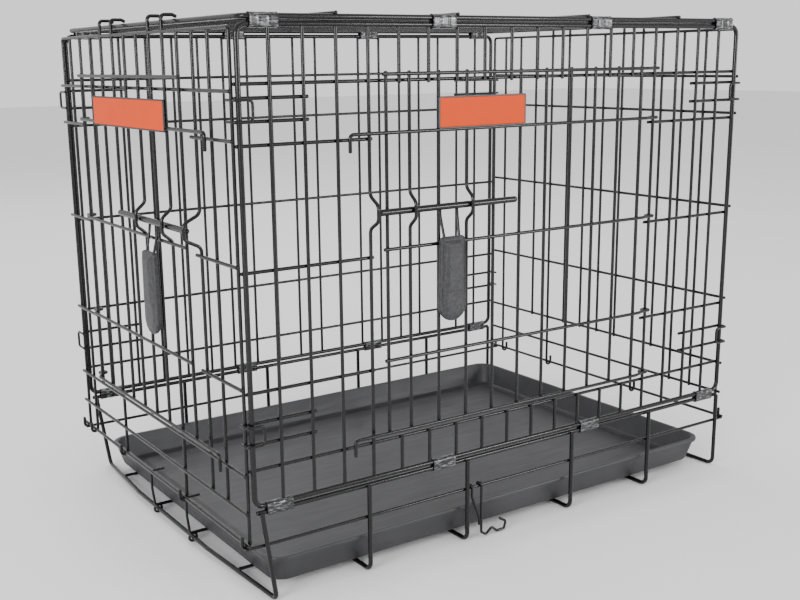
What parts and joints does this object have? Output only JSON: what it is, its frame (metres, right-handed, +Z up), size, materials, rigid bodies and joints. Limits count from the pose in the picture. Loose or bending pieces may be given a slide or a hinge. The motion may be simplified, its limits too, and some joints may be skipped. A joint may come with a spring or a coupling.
{
  "type": "folding wire dog crate",
  "caption": "Folding wire pet crate with a long side door, an end door, slide bolts, a slide-out tray and clip-hinged panels.",
  "frame": {"origin": "on the floor under the middle of the crate, between the corner posts", "axes": "+X along the long side, +Y from the long door to the back, +Z up; the end door faces -X"},
  "size_m": [0.6463, 0.4501, 0.5179],
  "materials": {
    "coated_wire": "satin black coated steel wire",
    "clip_steel": "crimped sheet steel, satin black",
    "tray_plastic": "grained black moulded plastic",
    "grip_plastic": "textured dark grey moulded plastic",
    "door_plate": "plain orange printed plastic plate"
  },
  "bodies": {
    "floor": {"floor_cross_wires": "coated_wire", "floor_right_end_wire": "coated_wire", "floor_left_end_wire": "coated_wire", "floor_long_wires": "coated_wire", "skirt_rails": "coated_wire", "skirt_side_wires": "coated_wire", "skirt_end_wires": "coated_wire"},
    "front_panel": {"front_frame": "coated_wire", "front_uprights": "coated_wire", "front_short_uprights": "coated_wire", "front_level_wires": "coated_wire", "front_stiffeners": "coated_wire", "front_bolt_keeper": "coated_wire", "front_lower_clips": "clip_steel"},
    "back_panel": {"back_frame": "coated_wire", "back_uprights": "coated_wire", "back_level_wires": "coated_wire", "back_stiffeners": "coated_wire", "back_lower_clips": "clip_steel"},
    "top_panel": {"top_frame": "coated_wire", "top_long_wires": "coated_wire", "top_cross_wires": "coated_wire", "front_upper_clips": "clip_steel", "back_upper_clips": "clip_steel"},
    "left_end_panel": {"left_end_bolt_keeper": "coated_wire", "left_end_frame": "coated_wire", "left_end_hooked_uprights": "coated_wire", "left_end_level_wires": "coated_wire", "left_end_post_loops": "coated_wire", "left_end_uprights": "coated_wire"},
    "right_end_panel": {"right_end_frame": "coated_wire", "right_end_hooked_uprights": "coated_wire", "right_end_level_wires": "coated_wire", "right_end_post_loops": "coated_wire", "right_end_uprights": "coated_wire"},
    "front_door": {"front_door_uprights": "coated_wire", "front_door_guides": "coated_wire", "front_door_level_wires": "coated_wire", "front_door_plate": "door_plate"},
    "front_bolt_body": {"front_bolt": "coated_wire"},
    "front_handle": {"front_handle_wire": "coated_wire", "front_handle_grip": "grip_plastic"},
    "end_door": {"end_door_uprights": "coated_wire", "end_door_guides": "coated_wire", "end_door_level_wires": "coated_wire", "end_door_plate": "door_plate"},
    "end_bolt_body": {"end_bolt": "coated_wire"},
    "end_handle": {"end_handle_wire": "coated_wire", "end_handle_grip": "grip_plastic"},
    "tray_body": {"tray": "tray_plastic"},
    "near_catch": {"tray_catch_near": "coated_wire"},
    "far_catch": {"tray_catch_far": "coated_wire"},
    "closure_hook_body": {"closure_hook": "coated_wire"}
  },
  "joints": [
    {"name": "fold", "type": "hinge", "parent": "floor", "child": "front_panel", "pos_m": [0, -0.21, 0.0865], "axis": [-1, 0, 0], "range_deg": [0, 80]},
    {"name": "top_fold", "type": "hinge", "parent": "front_panel", "child": "top_panel", "pos_m": [0, -0.21, 0.504], "axis": [-1, 0, 0], "range_deg": [-80, 0]},
    {"name": "back_fold", "type": "hinge", "parent": "floor", "child": "back_panel", "pos_m": [0, 0.21, 0.0865], "axis": [-1, 0, 0], "range_deg": [0, 80]},
    {"name": "left_end_drop", "type": "hinge", "parent": "floor", "child": "left_end_panel", "pos_m": [-0.31115, 0, 0.0584], "axis": [0, -1, 0], "range_deg": [0, 90]},
    {"name": "right_end_drop", "type": "hinge", "parent": "floor", "child": "right_end_panel", "pos_m": [0.31115, 0, 0.0584], "axis": [0, 1, 0], "range_deg": [0, 90]},
    {"name": "front_door_swing", "type": "hinge", "parent": "front_panel", "child": "front_door", "pos_m": [0.17765, -0.21, 0.3], "axis": [0, 0, 1], "range_deg": [0, 150]},
    {"name": "front_bolt_slide", "type": "slide", "parent": "front_door", "child": "front_bolt_body", "axis": [-1, 0, 0], "range_m": [0, 0.0245]},
    {"name": "front_handle_lift", "type": "hinge", "parent": "front_bolt_body", "child": "front_handle", "pos_m": [-0.097, -0.21845, 0.342], "axis": [-1, 0, 0], "range_deg": [0, 95]},
    {"name": "end_door_swing", "type": "hinge", "parent": "left_end_panel", "child": "end_door", "pos_m": [-0.3075, 0.1499, 0.3], "axis": [0, 0, -1], "range_deg": [0, 125]},
    {"name": "end_bolt_slide", "type": "slide", "parent": "end_door", "child": "end_bolt_body", "axis": [0, -1, 0], "range_m": [0, 0.018]},
    {"name": "end_handle_lift", "type": "hinge", "parent": "end_bolt_body", "child": "end_handle", "pos_m": [-0.3189, -0.055, 0.329], "axis": [0, 1, 0], "range_deg": [0, 95]},
    {"name": "tray_slide", "type": "slide", "parent": "floor", "child": "tray_body", "axis": [1, 0, 0], "range_m": [0, 0.45]},
    {"name": "near_catch_turn", "type": "hinge", "parent": "floor", "child": "near_catch", "pos_m": [-0.297, -0.056, 0.0064], "axis": [0, -1, 0], "range_deg": [0, 75]},
    {"name": "far_catch_turn", "type": "hinge", "parent": "floor", "child": "far_catch", "pos_m": [-0.297, 0.034, 0.0064], "axis": [0, -1, 0], "range_deg": [0, 75]},
    {"name": "closure_hook_swing", "type": "hinge", "parent": "floor", "child": "closure_hook_body", "pos_m": [-0.058, -0.21095, 0.0555], "axis": [-1, 0, 0], "range_deg": [0, 150]}
  ],
  "couplings": [
    {"joint": "top_fold", "follows": "fold", "ratio": -1},
    {"joint": "back_fold", "follows": "fold", "ratio": 1}
  ]
}
